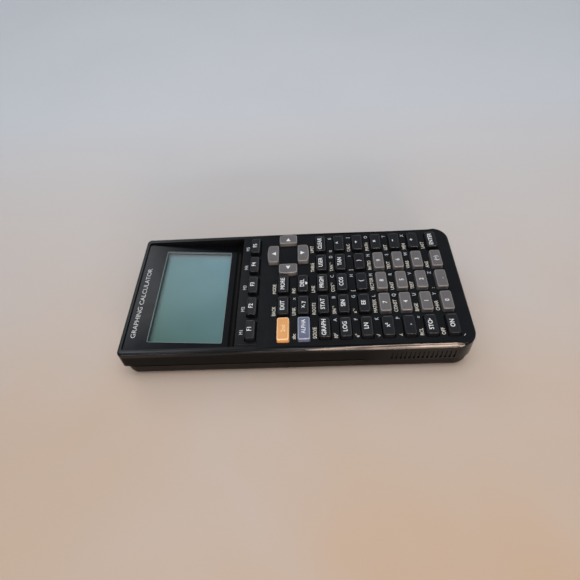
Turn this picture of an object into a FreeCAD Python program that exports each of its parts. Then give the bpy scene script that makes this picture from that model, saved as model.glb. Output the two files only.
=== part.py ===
import FreeCAD, Part
import math
import os

# Graphing calculator, lying on its back.
# X runs to the right of the keys, Y runs from the keys up to the display, and Z points out of
# the face. The origin is the centre of the flat underside. All sizes are in millimetres.

Vector = FreeCAD.Vector

# ---- driving dimensions: the case -------------------------------------------------------
body_length = 172.0
body_width = 79.4
face_z = 20.1                  # height of the keypad face above the table
seam_z = 8.8                   # height of the joint between the two shells
wall = 2.3
face_plate = 1.7
display_corner_r = 2.6         # plan corners at the display end
keypad_corner_r = 8.6          # plan corners at the keypad end
top_edge_r = 1.2               # rounding of the upper rim

rear_step = 0.4                # how far the rear shell stands back from the front shell
rear_draft = 0.9               # extra step-in of the rear shell at the table
rear_corner_r = 5.4
bottom_edge_r = 4.0
rear_floor = 1.8

# ---- driving dimensions: the sloping display well ---------------------------------------
well_half_width = 36.8
well_y0 = 28.6                 # deep end, at the menu key block
well_y1 = 84.0                 # shallow end
well_z0 = 14.15
well_z1 = 19.2
well_cove_r = 3.4              # rounded foot of the menu key block
lens_thickness = 1.2
lens_start = 4.6               # distance of the lens from the deep end, along the slope
lens_half_width = 36.6
lens_gap = 0.05                # play between the lens and its seat
lens_end_margin = 0.2          # between the lens and the shallow end wall
lens_low_r = 0.5
lens_high_r = 1.2
ledge_thickness = 1.2          # floor of the well under the lens
opening_half_width = 32.2      # hole in that floor for the display
opening_start = 6.6
opening_end = 45.6

# ---- driving dimensions: keys -----------------------------------------------------------
column_pitch = 14.25
row_pitch = 10.13
first_row_y = -75.7            # bottom row of keys
menu_row_y = 21.2
key_width = 11.2
key_depth = 5.4
shift_key_width = 13.0
shift_key_depth = 5.8
menu_key_width = 10.8
menu_key_depth = 4.8
key_top_z = 22.4
menu_key_top_z = 22.9
key_draft = 0.6                # a key is this much wider at its foot than at its top
key_gap = 0.4                  # the hole is this much wider than the foot of the key
flange_overlap = 0.4           # the flange is this much wider than the hole
flange_thickness = 1.0
key_foot_z = 17.2              # underside of the flange, on the rubber dome
key_corner_r = 0.9
key_edge_r = 0.35
menu_block_half_width = 36.0
menu_block_y0 = 18.0
menu_block_rise = 0.3

arrow_centre = (21.9, 3.1)
arrow_wide = (12.2, 5.4)       # the up and down keys
arrow_tall = (6.0, 9.8)        # the left and right keys
arrow_reach_x = 10.9           # centre of the cross to the middle of the left and right keys
arrow_reach_y = 7.95           # centre of the cross to the middle of the up and down keys
arrow_bulge = 0.7              # outer edge of an arrow key bows out by this much

# ---- driving dimensions: what is inside --------------------------------------------------
module_half_width = 35.2       # display module, with its steel frame
module_start = 3.6
module_end = 49.0
module_depth = 4.4
module_sheet = 0.4             # thickness of the steel
flat_cable_half_width = 14.0
board_z = 13.2
board_thickness = 1.2
board_half_width = 36.0
inner_y0 = -83.2
inner_y1 = 26.0
board_corner_r = 5.0
rubber_thickness = 0.9
rubber_margin = 1.5            # how far the rubber sheet stands in from the board's sides
chips = [(2.0, 12.0, 14.0, 14.0), (20.0, 4.0, 12.0, 9.0), (-2.0, -6.0, 10.0, 7.0)]   # x, y, size
chip_height = 2.1
crystal = (28.0, -18.0, 3.0, 8.0, 3.0)         # x, y, width, depth, height
capacitor = (-29.0, -18.0, 3.0, 6.0)           # x, y, radius, height
dome_foot_r = 2.5
dome_top_r = 1.9
cell_r = 5.15                  # AAA cell
cell_length = 43.5
cell_pitch = 10.7
cell_z = 6.95
cell_tip_r = 1.9
cell_tip_length = 1.0
contact_half_width = 4.2
contact_thickness = 0.4
contact_z0 = 3.6
contact_z1 = 10.6
contact_button_r = (2.6, 1.4)
backup_cell = (-22.0, 6.0, 8.0)   # x, y and radius of the flat cell under the board
backup_cell_thickness = 1.6
bay_half_width = 21.8
bay_y0 = -67.2
bay_y1 = -15.8
bay_ceiling_z = 12.2
bay_wall = 0.8
door_thickness = 1.6
door_gap = 0.2
door_grip_lines = 5
door_grip_pitch = 1.6
hook_places = (-12.0, 12.0)
hook_half_width = 2.6
hook_side_gap = 0.7
hook_low_z = 2.0
hook_high_z = 2.9
hook_slot_top = 5.0
latch_half_width = 6.5
latch_reach = 2.6              # how far the latch tab stands past the bay
latch_thickness = 0.8
screw_places = [(21.4, -70.7), (33.4, 13.4), (32.6, 79.9)]   # mirrored to the left side
boss_r = 1.6
screw_r = 0.85
screw_head_r = 1.8
screw_seat_z = 2.2             # top of the counterbore, where the head bears
cross_length = 2.2             # cross recess in the head
cross_width = 0.44
cross_top_z = 1.6
screw_reach = 5.5              # how far a screw goes into the front shell
screw_post_r = 2.9             # posts of the rear shell around the screws
boss_hole_r = 2.0              # hole for a screw post in the board and the rubber sheet
jack_z = 10.9
jack_bore_r = 1.28
jack_bore_depth = 11.0
jack_recess = 0.3              # how far the barrel stands back from the end wall
jack_barrel_r = 2.2
jack_way_r = 2.35              # hole in the shells around the barrel
jack_block_width = 6.4
jack_block_length = 12.0
jack_block_drop = 2.6          # how far the block reaches below the axis of the bore

half_width = body_width / 2
half_length = body_length / 2
slope = (well_z1 - well_z0) / (well_y1 - well_y0)
tilt_angle = math.degrees(math.atan(slope))
slope_length = (well_y1 - well_y0) / math.cos(math.atan(slope))
column_x = [(column - 2) * column_pitch for column in range(5)]
row_y = [first_row_y + row * row_pitch for row in range(9)]


# ---- small helpers ----------------------------------------------------------------------
def box(x0, x1, y0, y1, z0, z1):
    return Part.makeBox(x1 - x0, y1 - y0, z1 - z0, Vector(x0, y0, z0))


def cylinder(x, y, z0, z1, radius):
    return Part.makeCylinder(radius, z1 - z0, Vector(x, y, z0))


def corner_arc(centre_x, centre_y, radius, start_angle, z):
    """Quarter circle, counter-clockwise from start_angle in degrees."""
    points = []
    for turn in (0, 45, 90):
        angle = math.radians(start_angle + turn)
        points.append(Vector(centre_x + radius * math.cos(angle), centre_y + radius * math.sin(angle), z))
    return Part.Arc(*points).toShape(), points[0], points[2]


def outline(x0, x1, y0, y1, low_r, high_r, z):
    """Closed rectangle with rounded corners: low_r at the y0 end, high_r at the y1 end."""
    corners = [
        corner_arc(x1 - low_r, y0 + low_r, low_r, -90, z),
        corner_arc(x1 - high_r, y1 - high_r, high_r, 0, z),
        corner_arc(x0 + high_r, y1 - high_r, high_r, 90, z),
        corner_arc(x0 + low_r, y0 + low_r, low_r, 180, z),
    ]
    edges = []
    for index, (arc, start, end) in enumerate(corners):
        next_start = corners[(index + 1) % 4][1]
        edges.append(arc)
        edges.append(Part.LineSegment(end, next_start).toShape())
    return Part.Wire(edges)


def slab(x0, x1, y0, y1, z0, z1, low_r, high_r=None):
    """Upright block with rounded plan corners."""
    wire = outline(x0, x1, y0, y1, low_r, low_r if high_r is None else high_r, z0)
    return Part.Face(wire).extrude(Vector(0, 0, z1 - z0))


def frustum(low_wire, high_wire):
    return Part.makeLoft([low_wire, high_wire], True, True)


def side_profile(points, x0, x1):
    """Block made by a closed outline of (y, z) points, run from x0 to x1."""
    corners = [Vector(x0, y, z) for y, z in points]
    return Part.Face(Part.makePolygon(corners + corners[:1])).extrude(Vector(x1 - x0, 0, 0))


def edges_at(shape, z):
    """Edges that lie wholly at one height."""
    found = []
    for edge in shape.Edges:
        bounds = edge.BoundBox
        if abs(bounds.ZMin - z) < 1e-4 and abs(bounds.ZMax - z) < 1e-4:
            found.append(edge)
    return found


def mirrored(places):
    return [(side * x, y) for x, y in places for side in (-1, 1)]


def well_height(y):
    return well_z0 + slope * (y - well_y0)


def on_slope(shape):
    """Move a shape from (x, distance along the slope, height above it) to its place."""
    moved = shape.copy()
    moved.rotate(Vector(0, 0, 0), Vector(1, 0, 0), tilt_angle)
    moved.translate(Vector(0, well_y0, well_z0))
    return moved


def along_y(x, y, z, radius, length):
    return Part.makeCylinder(radius, length, Vector(x, y, z), Vector(0, 1, 0))


def jack_way():
    """Hole through the keypad end wall for the barrel of the link socket."""
    return along_y(0, -half_length - 1, jack_z, jack_way_r, wall + 3)


def save(shape, node):
    shape.exportStep(os.path.join("parts", node + ".step"))


# ---- key places and shapes --------------------------------------------------------------
class Key:
    """One key: its node name, its centre and its size at the top."""

    def __init__(self, node, x, y, width, depth, top_z=key_top_z, bulge=None):
        self.node = node
        self.x = x
        self.y = y
        self.width = width
        self.depth = depth
        self.top_z = top_z
        self.bulge = bulge

    def wire(self, z, growth, corner_r=key_corner_r):
        """Outline of the key, made wider by growth all told."""
        half_w = (self.width + growth) / 2
        half_d = (self.depth + growth) / 2
        if self.bulge is None:
            return outline(self.x - half_w, self.x + half_w, self.y - half_d, self.y + half_d,
                           corner_r, corner_r, z)
        return self.bowed_wire(z, half_w, half_d)

    def bowed_wire(self, z, half_w, half_d):
        """Rectangle whose outer side bows away from the centre of the arrow cross."""
        out_x, out_y = self.bulge
        along = half_w if out_x else half_d
        across = half_d if out_x else half_w
        corners = [(-along, -across), (along, -across), (along, across), (-along, across)]
        mid = (along + arrow_bulge, 0)

        def place(point):
            u, v = point
            return Vector(self.x + out_x * u - out_y * v, self.y + out_y * u + out_x * v, z)

        edges = [
            Part.LineSegment(place(corners[0]), place(corners[1])).toShape(),
            Part.Arc(place(corners[1]), place(mid), place(corners[2])).toShape(),
            Part.LineSegment(place(corners[2]), place(corners[3])).toShape(),
            Part.LineSegment(place(corners[3]), place(corners[0])).toShape(),
        ]
        return Part.Wire(edges)

    def cap(self):
        """Key cap with its flange, one solid."""
        foot_z = key_foot_z + flange_thickness
        stem = frustum(self.wire(foot_z - 0.1, key_draft), self.wire(self.top_z, 0))
        stem = stem.makeFillet(key_edge_r, edges_at(stem, self.top_z))
        flange_wire = self.wire(key_foot_z, key_draft + key_gap + flange_overlap)
        flange = Part.Face(flange_wire).extrude(Vector(0, 0, flange_thickness))
        return stem.fuse(flange).removeSplitter()

    def hole(self):
        """Opening in the face for this key."""
        wire = self.wire(face_z - face_plate - 1, key_draft + key_gap)
        return Part.Face(wire).extrude(Vector(0, 0, face_plate + 3))


def grid_keys():
    """The seven full rows, bottom row first, then the two short rows."""
    full_rows = [
        ("on", "0", "decimal_point", "negative", "enter"),
        ("store", "1", "2", "3", "plus"),
        ("comma", "4", "5", "6", "minus"),
        ("square", "7", "8", "9", "multiply"),
        ("ln", "ee", "open_bracket", "close_bracket", "divide"),
        ("log", "sin", "cos", "tan", "power"),
        ("graph", "stat", "program", "custom", "clear"),
    ]
    found = []
    for row, names in enumerate(full_rows):
        for column, name in enumerate(names):
            found.append(Key("key_" + name, column_x[column], row_y[row], key_width, key_depth))
    short_rows = [("alpha", "x_variable", "delete"), ("second", "exit", "more")]
    for row, names in enumerate(short_rows):
        for column, name in enumerate(names):
            wide = column == 0
            found.append(Key("key_" + name, column_x[column], row_y[7 + row],
                             shift_key_width if wide else key_width,
                             shift_key_depth if wide else key_depth))
    return found


def menu_keys():
    return [Key("key_f%d" % (column + 1), column_x[column], menu_row_y, menu_key_width,
                menu_key_depth, menu_key_top_z) for column in range(5)]


def arrow_keys():
    places = [("up", 0, 1), ("down", 0, -1), ("left", -1, 0), ("right", 1, 0)]
    found = []
    for name, out_x, out_y in places:
        width, depth = arrow_tall if out_x else arrow_wide
        found.append(Key("key_" + name, arrow_centre[0] + out_x * arrow_reach_x,
                         arrow_centre[1] + out_y * arrow_reach_y, width, depth,
                         bulge=(out_x, out_y)))
    return found


keys = grid_keys() + menu_keys() + arrow_keys()


# ---- front shell ------------------------------------------------------------------------
rib_count = 15
rib_pitch = 2.1
rib_first_y = -46.4
rib_slot_width = 1.0
rib_slot_depth = 0.55
rib_low_z = 9.8
rib_high_z = 15.7
groove_top_z = 10.1
groove_depth = 1.0
groove_end_y = -33.5
nub_y = -28.7
nub_r = 0.8
nub_rise = 0.4
chamfer_angle = 55.0           # facet along the upper side edges, from the horizontal
chamfer_start_y = -5.0         # the facet leaves the rounded edge here,
chamfer_full_y = -52.0         # reaches its full width here,
chamfer_end_y = -76.0          # and runs out at the keypad corners
chamfer_fade_y = -84.0
chamfer_inset = 1.35
line_x = 37.95                 # thin lines that run beside the keypad
line_width = 0.3
line_depth = 0.25
line_y0 = -72.0


def display_well():
    """The sloping recess: vertical walls, a plane floor and a cove at the deep end."""
    root = math.sqrt(1 + slope * slope)
    centre_y = well_y0 + well_cove_r
    centre_z = well_z0 + slope * well_cove_r + well_cove_r * root
    foot = Vector(-well_half_width, centre_y + well_cove_r * slope / root, centre_z - well_cove_r / root)
    bend = math.radians(225 + tilt_angle / 2)
    middle = Vector(-well_half_width, centre_y + well_cove_r * math.cos(bend),
                    centre_z + well_cove_r * math.sin(bend))
    above = face_z + 5
    block_top = Vector(-well_half_width, well_y0, above)
    wall_foot = Vector(-well_half_width, well_y0, centre_z)
    far_foot = Vector(-well_half_width, well_y1, well_z1)
    far_top = Vector(-well_half_width, well_y1, above)
    edges = [
        Part.LineSegment(block_top, wall_foot).toShape(),
        Part.Arc(wall_foot, middle, foot).toShape(),
        Part.LineSegment(foot, far_foot).toShape(),
        Part.LineSegment(far_foot, far_top).toShape(),
        Part.LineSegment(far_top, block_top).toShape(),
    ]
    well = Part.Face(Part.Wire(edges)).extrude(Vector(2 * well_half_width, 0, 0))
    plan = slab(-well_half_width, well_half_width, well_y0, well_y1, 0, above, 0.6, 1.4)
    return well.common(plan)


def lens_slab(gap, top):
    """The lens, or its seat: smaller by the gap all round, up to the given height."""
    half = lens_half_width - gap
    return on_slope(slab(-half, half, lens_start + gap, slope_length - lens_end_margin - gap,
                         -lens_thickness, top, lens_low_r - gap, lens_high_r - gap))


def display_opening():
    return on_slope(slab(-opening_half_width, opening_half_width, opening_start, opening_end,
                         -lens_thickness - ledge_thickness - 1, -lens_thickness + 0.1, 1.0))


def front_cavity():
    """Room inside the front shell: under the face, and under the sloping floor."""
    depth_below_floor = lens_thickness + ledge_thickness
    end_y0 = -half_length + wall
    profile = [
        (end_y0, seam_z - 1),
        (end_y0, face_z - face_plate),
        (well_y0 - 1.8, face_z - face_plate),
        (well_y0 - 1.8, well_height(well_y0 - 1.8) - depth_below_floor),
        (well_y1 - 0.4, well_height(well_y1 - 0.4) - depth_below_floor),
        (well_y1 - 0.4, seam_z - 1),
    ]
    prism = side_profile(profile, -half_width + wall, half_width - wall)
    plan = slab(-half_width + wall, half_width - wall, end_y0, well_y1 - 0.4, seam_z - 2, face_z,
                keypad_corner_r - wall, 1.0)
    return prism.common(plan)


def rim_chamfer(side):
    """Facet along the upper edge that grows wider towards the keypad end."""
    rise = math.tan(math.radians(chamfer_angle))
    tangent_inset = top_edge_r * (1 - math.tan(math.radians(chamfer_angle / 2)))

    def section(y, inset, shift=0.0):
        inner = side * (half_width - inset + shift)
        outer = side * (half_width + 1 + shift)
        top = face_z + 0.5
        corners = [
            Vector(inner - side * 0.5 / rise, y, top),
            Vector(outer, y, top),
            Vector(outer, y, face_z - rise * (1 + inset)),
        ]
        return Part.makePolygon(corners + corners[:1])

    places = [
        section(chamfer_start_y, tangent_inset),
        section(chamfer_full_y, chamfer_inset),
        section(chamfer_end_y, chamfer_inset),
        section(chamfer_fade_y, chamfer_inset, chamfer_inset),
    ]
    pieces = [frustum(first, second) for first, second in zip(places, places[1:])]
    return pieces[0].fuse(pieces[1:])


def side_details(shell):
    """Grooves for a slide-on cover, their stop nubs, and the finger ribs."""
    for side in (-1, 1):
        inner = side * (half_width - groove_depth)
        outer = side * (half_width + 1)
        groove = box(min(inner, outer), max(inner, outer), groove_end_y, half_length + 1,
                     seam_z - 1, groove_top_z)
        shell = shell.cut(groove)
        nub_top = groove_top_z + nub_rise
        nub = cylinder(side * (half_width - groove_depth), nub_y, seam_z, nub_top, nub_r)
        keep = box(-half_width, half_width, nub_y - 1, nub_y + 1, seam_z, nub_top)
        shell = shell.fuse(nub.common(keep))
        shell = shell.cut(rim_chamfer(side))
        for rib in range(rib_count):
            y = rib_first_y - rib * rib_pitch
            rib_in = side * (half_width - rib_slot_depth)
            slot = slab(min(rib_in, outer), max(rib_in, outer), y - rib_slot_width / 2,
                        y + rib_slot_width / 2, rib_low_z, rib_high_z, 0.2)
            shell = shell.cut(slot)
    return shell


def front_bosses():
    """Screw posts that hang from the face down to the joint between the shells."""
    posts = []
    for x, y in mirrored(screw_places):
        top = face_z - face_plate + 0.2
        if y > well_y0:
            top = well_height(y) - lens_thickness - ledge_thickness + 0.3
        posts.append(cylinder(x, y, seam_z + 0.1, top, boss_r))
    return posts


def front_case():
    shell = slab(-half_width, half_width, -half_length, half_length, seam_z, face_z,
                 keypad_corner_r, display_corner_r)
    shell = shell.makeFillet(top_edge_r, edges_at(shell, face_z))
    shell = side_details(shell)
    block = slab(-menu_block_half_width, menu_block_half_width, menu_block_y0, well_y0 + 1,
                 face_z - 0.5, face_z + menu_block_rise, 0.5)
    block = block.makeFillet(menu_block_rise * 0.8, edges_at(block, face_z + menu_block_rise))
    shell = shell.fuse(block)
    shell = shell.cut([display_well(), lens_slab(0, 0.01), display_opening(), front_cavity()])
    shell = shell.cut([key.hole() for key in keys])
    shell = shell.fuse(front_bosses())
    for x, y in mirrored(screw_places):
        shell = shell.cut(cylinder(x, y, seam_z - 1, seam_z + screw_reach + 1, screw_r + 0.05))
    for side in (-1, 1):
        x = side * line_x
        line = box(x - line_width / 2, x + line_width / 2, line_y0, menu_block_y0,
                   face_z - line_depth, face_z + 1)
        shell = shell.cut(line)
    return shell.cut(jack_way()).removeSplitter()


# ---- rear shell -------------------------------------------------------------------------
def rear_outer():
    top_x = half_width - rear_step
    top_y = half_length - rear_step
    low_x = top_x - rear_draft
    low_y = top_y - rear_draft
    low = outline(-low_x, low_x, -low_y, low_y, keypad_corner_r - 1, rear_corner_r - 0.6, 0)
    high = outline(-top_x, top_x, -top_y, top_y, keypad_corner_r, rear_corner_r, seam_z)
    block = frustum(low, high)
    return block.makeFillet(bottom_edge_r, edges_at(block, 0))


def rear_inner():
    low_x = half_width - 4.2
    high_x = half_width - wall
    low = outline(-low_x, low_x, -half_length + 4.4, half_length - 4.4, 5.0, 3.0, rear_floor)
    high = outline(-high_x, high_x, -half_length + wall + 0.2, half_length - wall - 0.2,
                   keypad_corner_r - wall, 3.5, seam_z + 1)
    return frustum(low, high)


def battery_bay():
    """Closed tub that stands on the floor of the rear shell and holds the cells."""
    side = bay_half_width + bay_wall
    return slab(-side, side, bay_y0 - bay_wall, bay_y1 + bay_wall, 0.6,
                bay_ceiling_z + bay_wall, 1.0)


def battery_room():
    return slab(-bay_half_width, bay_half_width, bay_y0, bay_y1, -1, bay_ceiling_z, 0.6)


def hook_slots():
    """Slots in the end wall of the bay for the two hooks of the door."""
    half = hook_half_width + hook_side_gap
    return [box(x - half, x + half, bay_y0 - bay_wall - 0.6, bay_y0 + 0.5, rear_floor, hook_slot_top)
            for x in hook_places]


def rear_case():
    shell = rear_outer().cut(rear_inner())
    posts = [battery_bay()]
    for x, y in mirrored(screw_places):
        posts.append(cylinder(x, y, rear_floor - 0.6, seam_z, screw_post_r))
    shell = shell.fuse(posts)
    cuts = [battery_room()] + hook_slots()
    for x, y in mirrored(screw_places):
        cuts.append(cylinder(x, y, -1, screw_seat_z, screw_head_r + 0.3))
        cuts.append(cylinder(x, y, 0, seam_z + 1, screw_r + 0.2))
    cuts.append(jack_way())
    latch_room = latch_half_width + 1.0
    cuts.append(box(-latch_room, latch_room, bay_y1 - 0.5, bay_y1 + latch_reach + 0.8, -1,
                    latch_thickness + 0.1))
    shell = shell.cut(cuts)
    above_seam = box(-half_width, half_width, -half_length, half_length, seam_z, face_z)
    return shell.common(rear_outer().fuse(above_seam)).removeSplitter()


# ---- battery door -----------------------------------------------------------------------
def battery_door():
    """Flush door with two hooks at one end and a finger latch at the other."""
    x = bay_half_width - door_gap
    plate = slab(-x, x, bay_y0 + door_gap, bay_y1 - door_gap, 0, door_thickness, 0.5)
    latch = slab(-latch_half_width, latch_half_width, bay_y1 - 1.5, bay_y1 + latch_reach,
                 0, latch_thickness, 0.4)
    door = plate.fuse(latch)
    hook_back = bay_y0 + door_gap + 1.1
    for hook_x in hook_places:
        low_x = hook_x - hook_half_width
        high_x = hook_x + hook_half_width
        post = box(low_x, high_x, bay_y0 + door_gap, hook_back, door_thickness - 0.2, hook_high_z)
        tongue = box(low_x, high_x, bay_y0 - 1.0, hook_back, hook_low_z, hook_high_z)
        door = door.fuse(post).fuse(tongue)
    for line in range(door_grip_lines):
        y = bay_y1 - 5.0 - line * door_grip_pitch
        door = door.cut(box(-5.5, 5.5, y - 0.35, y + 0.35, -1, 0.35))
    return door.removeSplitter()


# ---- what is inside ---------------------------------------------------------------------
def cells_and_contacts():
    """Four AAA cells in alternate directions, their contact plates, and a flat backup cell."""
    solids = []
    middle_y = (bay_y0 + bay_y1) / 2
    for index in range(4):
        x = (index - 1.5) * cell_pitch
        facing = 1 if index % 2 else -1
        can = along_y(x, middle_y - cell_length / 2, cell_z, cell_r, cell_length)
        tip_y = middle_y + facing * cell_length / 2
        tip = Part.makeCylinder(cell_tip_r, cell_tip_length, Vector(x, tip_y, cell_z),
                                Vector(0, facing, 0))
        solids.append(can.fuse(tip).removeSplitter())
        for end in (-1, 1):
            wall_y = bay_y1 if end > 0 else bay_y0
            face_y = wall_y - end * contact_thickness
            plate = box(x - contact_half_width, x + contact_half_width, min(wall_y, face_y),
                        max(wall_y, face_y), contact_z0, contact_z1)
            reach = abs(face_y - (middle_y + end * cell_length / 2))
            if end == facing:
                reach -= cell_tip_length
            button = Part.makeCone(*contact_button_r, reach, Vector(x, face_y, cell_z),
                                   Vector(0, -end, 0))
            solids.append(plate.fuse(button).removeSplitter())
    x, y, radius = backup_cell
    solids.append(cylinder(x, y, board_z - backup_cell_thickness, board_z, radius))
    return Part.makeCompound(solids)


def rubber_keypad():
    """Silicone sheet with one dome under each key."""
    low = board_z + board_thickness
    high = low + rubber_thickness
    half = board_half_width - rubber_margin
    sheet = slab(-half, half, inner_y0 + 0.6, inner_y1 - 0.4, low, high, board_corner_r, 1.0)
    domes = [Part.makeCone(dome_foot_r, dome_top_r, key_foot_z - high + 0.2,
                           Vector(key.x, key.y, high - 0.2)) for key in keys]
    sheet = sheet.fuse(domes)
    return sheet.cut(boss_holes(low - 1, high + 1)).removeSplitter()


def boss_holes(z0, z1):
    return [cylinder(x, y, z0, z1, boss_hole_r) for x, y in mirrored(screw_places)]


def circuit_board():
    """Main board with its chips, crystal and power capacitor on the underside."""
    board = slab(-board_half_width, board_half_width, inner_y0, inner_y1, board_z,
                 board_z + board_thickness, board_corner_r, 1.0)
    board = board.cut(boss_holes(board_z - 1, board_z + board_thickness + 1)).removeSplitter()
    parts = [board]
    for x, y, width, depth in chips:
        parts.append(box(x - width / 2, x + width / 2, y - depth / 2, y + depth / 2,
                         board_z - chip_height, board_z))
    x, y, width, depth, height = crystal
    parts.append(slab(x - width / 2, x + width / 2, y - depth / 2, y + depth / 2,
                      board_z - height, board_z, 1.4))
    x, y, radius, height = capacitor
    parts.append(cylinder(x, y, board_z - height, board_z, radius))
    return Part.makeCompound(parts)


def lcd_module():
    """Steel frame, glass sandwich, driver board and the flat cable to the main board."""
    top = -lens_thickness - ledge_thickness - 0.1
    half = module_half_width
    sheet = module_sheet

    def layer(inset, z0, z1):
        return box(-half + inset, half - inset, module_start + inset, module_end - inset, z0, z1)

    frame = slab(-half, half, module_start, module_end, top - module_depth, top, 0.8)
    frame = frame.cut(layer(sheet, top - module_depth - 1, top - sheet))
    frame = frame.cut(slab(-opening_half_width - 0.2, opening_half_width + 0.2, opening_start - 0.2,
                           opening_end + 0.2, top - 1, top + 1, 0.6))
    glass = layer(2 * sheet, top - 2.7, top - sheet)
    board = layer(1.5 * sheet, top - 4.0, top - 2.8)
    cable = side_profile([(24.2, board_z), (24.2, board_z - 0.3), (25.5, 10.6), (32.6, 9.5), (32.6, 9.8),
                          (25.8, 10.9), (24.6, board_z)], -flat_cable_half_width,
                         flat_cable_half_width)
    solids = [on_slope(frame), on_slope(glass), on_slope(board), cable]
    return Part.makeCompound(solids)


def case_screws():
    """Self-tapping screws, driven in from the back."""
    screws = []
    for x, y in mirrored(screw_places):
        head = cylinder(x, y, screw_seat_z - 1.2, screw_seat_z, screw_head_r)
        shank = cylinder(x, y, screw_seat_z - 0.1, seam_z + screw_reach, screw_r)
        long = cross_length / 2
        narrow = cross_width / 2
        slot_a = box(x - long, x + long, y - narrow, y + narrow, 0.5, cross_top_z)
        slot_b = box(x - narrow, x + narrow, y - long, y + long, 0.5, cross_top_z)
        screws.append(head.fuse(shank).cut([slot_a, slot_b]).removeSplitter())
    return Part.makeCompound(screws)


def link_jack():
    """Socket for the link cable: a block under the board with a barrel through the end wall."""
    inner_y = -half_length + wall + 0.8
    mouth_y = -half_length + jack_recess
    half = jack_block_width / 2
    block = box(-half, half, inner_y, inner_y + jack_block_length, jack_z - jack_block_drop, board_z)
    barrel = along_y(0, mouth_y, jack_z, jack_barrel_r, wall + 0.6)
    bore = along_y(0, mouth_y - 1, jack_z, jack_bore_r, jack_bore_depth + 1)
    return block.fuse(barrel).cut(bore).removeSplitter()


# ---- write every node -------------------------------------------------------------------
os.makedirs("parts", exist_ok=True)
save(front_case(), "front_case")
save(rear_case(), "rear_case")
save(battery_door(), "battery_door")
save(lens_slab(lens_gap, 0), "display_window")
save(lcd_module(), "lcd_module")
save(rubber_keypad(), "rubber_keypad")
save(circuit_board(), "circuit_board")
save(cells_and_contacts(), "batteries_and_contacts")
save(case_screws(), "case_screws")
save(link_jack(), "link_jack")
for key in keys:
    save(key.cap(), key.node)
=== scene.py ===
import math

import bmesh
import bpy
from mathutils import Matrix, Vector


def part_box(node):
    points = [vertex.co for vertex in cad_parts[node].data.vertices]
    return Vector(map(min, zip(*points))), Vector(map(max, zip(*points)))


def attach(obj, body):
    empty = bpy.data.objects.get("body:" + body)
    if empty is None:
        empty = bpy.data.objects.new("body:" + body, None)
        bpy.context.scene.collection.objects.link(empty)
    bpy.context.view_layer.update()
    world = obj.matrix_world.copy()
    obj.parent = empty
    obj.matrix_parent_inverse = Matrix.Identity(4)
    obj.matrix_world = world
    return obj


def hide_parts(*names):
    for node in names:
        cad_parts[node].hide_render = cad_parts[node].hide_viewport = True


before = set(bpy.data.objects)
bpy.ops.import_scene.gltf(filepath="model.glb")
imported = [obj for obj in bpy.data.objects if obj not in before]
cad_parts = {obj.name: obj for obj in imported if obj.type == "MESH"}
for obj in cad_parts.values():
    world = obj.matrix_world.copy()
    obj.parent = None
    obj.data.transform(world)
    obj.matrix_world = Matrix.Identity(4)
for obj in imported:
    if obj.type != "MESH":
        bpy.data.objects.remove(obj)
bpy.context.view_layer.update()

# Graphing calculator on a pale table. X runs to the right of the keys, Y from the keys up to the
# display and Z out of the face. Lengths below are in millimetres and become metres through MM.
# Only the lamps, the noise scales and the bump depths are written in metres.
MM = 0.001


# ---- places read from the frame ----------------------------------------------------------
def node_box(node):
    """Lowest and highest corner of a CAD node in millimetres."""
    low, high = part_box(node)
    return low / MM, high / MM


menu_block_z = node_box("front_case")[1].z
menu_block_rise = 0.3
face_z = menu_block_z - menu_block_rise
window_low, window_high = node_box("display_window")
lens_thickness = 1.2
tilt_loss = 0.005              # what the tilt takes off the thickness, measured upright
lens_rise = window_high.z - window_low.z - lens_thickness + tilt_loss
tilt = math.asin(min(1.0, lens_rise / (window_high.y - window_low.y)))
keys = sorted(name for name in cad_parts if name.startswith("key_"))


def on_lens(x, along, height):
    """Point at x, a distance up the slope from the lens's deep end, and a height above its face."""
    deep_z = window_high.z - (window_high.y - window_low.y) * math.tan(tilt)
    y = window_low.y + along * math.cos(tilt) - height * math.sin(tilt)
    z = deep_z + along * math.sin(tilt) + height * math.cos(tilt)
    return Vector((x, y, z))


window_start = 3.25            # clear window, along the slope from the lens's deep end
window_end = 39.7
window_half_width = 31.0
screen_start = 2.4
screen_end = 40.4
screen_half_width = 32.1
screen_top = -2.1              # against the face of the lens
screen_bottom = -2.75
display_cell_pitch = 0.44
display_cell_gap = 0.05


# ---- colours -----------------------------------------------------------------------------
def linear(red, green, blue):
    """Display colour from 0 to 255 as a linear shader colour."""
    def channel(value):
        value /= 255
        return value / 12.92 if value <= 0.04045 else ((value + 0.055) / 1.055) ** 2.4
    return (channel(red), channel(green), channel(blue), 1.0)


def scaled(colour, factor):
    return tuple(channel * factor for channel in colour[:3]) + (1.0,)


# ---- materials ---------------------------------------------------------------------------
def new_material(name):
    """Material with its node tree and its main shader."""
    material = bpy.data.materials.new(name)
    material.use_nodes = True
    return material, material.node_tree, material.node_tree.nodes["Principled BSDF"]


def object_coordinates(tree):
    """Place on the object, in metres."""
    return tree.nodes.new("ShaderNodeTexCoord").outputs["Object"]


def noise(tree, scale, detail=3.0, distortion=0.0):
    """Noise value over the object; scale is in features per metre."""
    node = tree.nodes.new("ShaderNodeTexNoise")
    node.inputs["Scale"].default_value = scale
    node.inputs["Detail"].default_value = detail
    node.inputs["Distortion"].default_value = distortion
    tree.links.new(object_coordinates(tree), node.inputs["Vector"])
    return node.outputs["Fac"]


def ranged(tree, value, low, high, source=(0.3, 0.7)):
    """The value mapped from the source range to low .. high."""
    node = tree.nodes.new("ShaderNodeMapRange")
    node.inputs["From Min"].default_value = source[0]
    node.inputs["From Max"].default_value = source[1]
    node.inputs["To Min"].default_value = low
    node.inputs["To Max"].default_value = high
    tree.links.new(value, node.inputs["Value"])
    return node.outputs["Result"]


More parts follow.
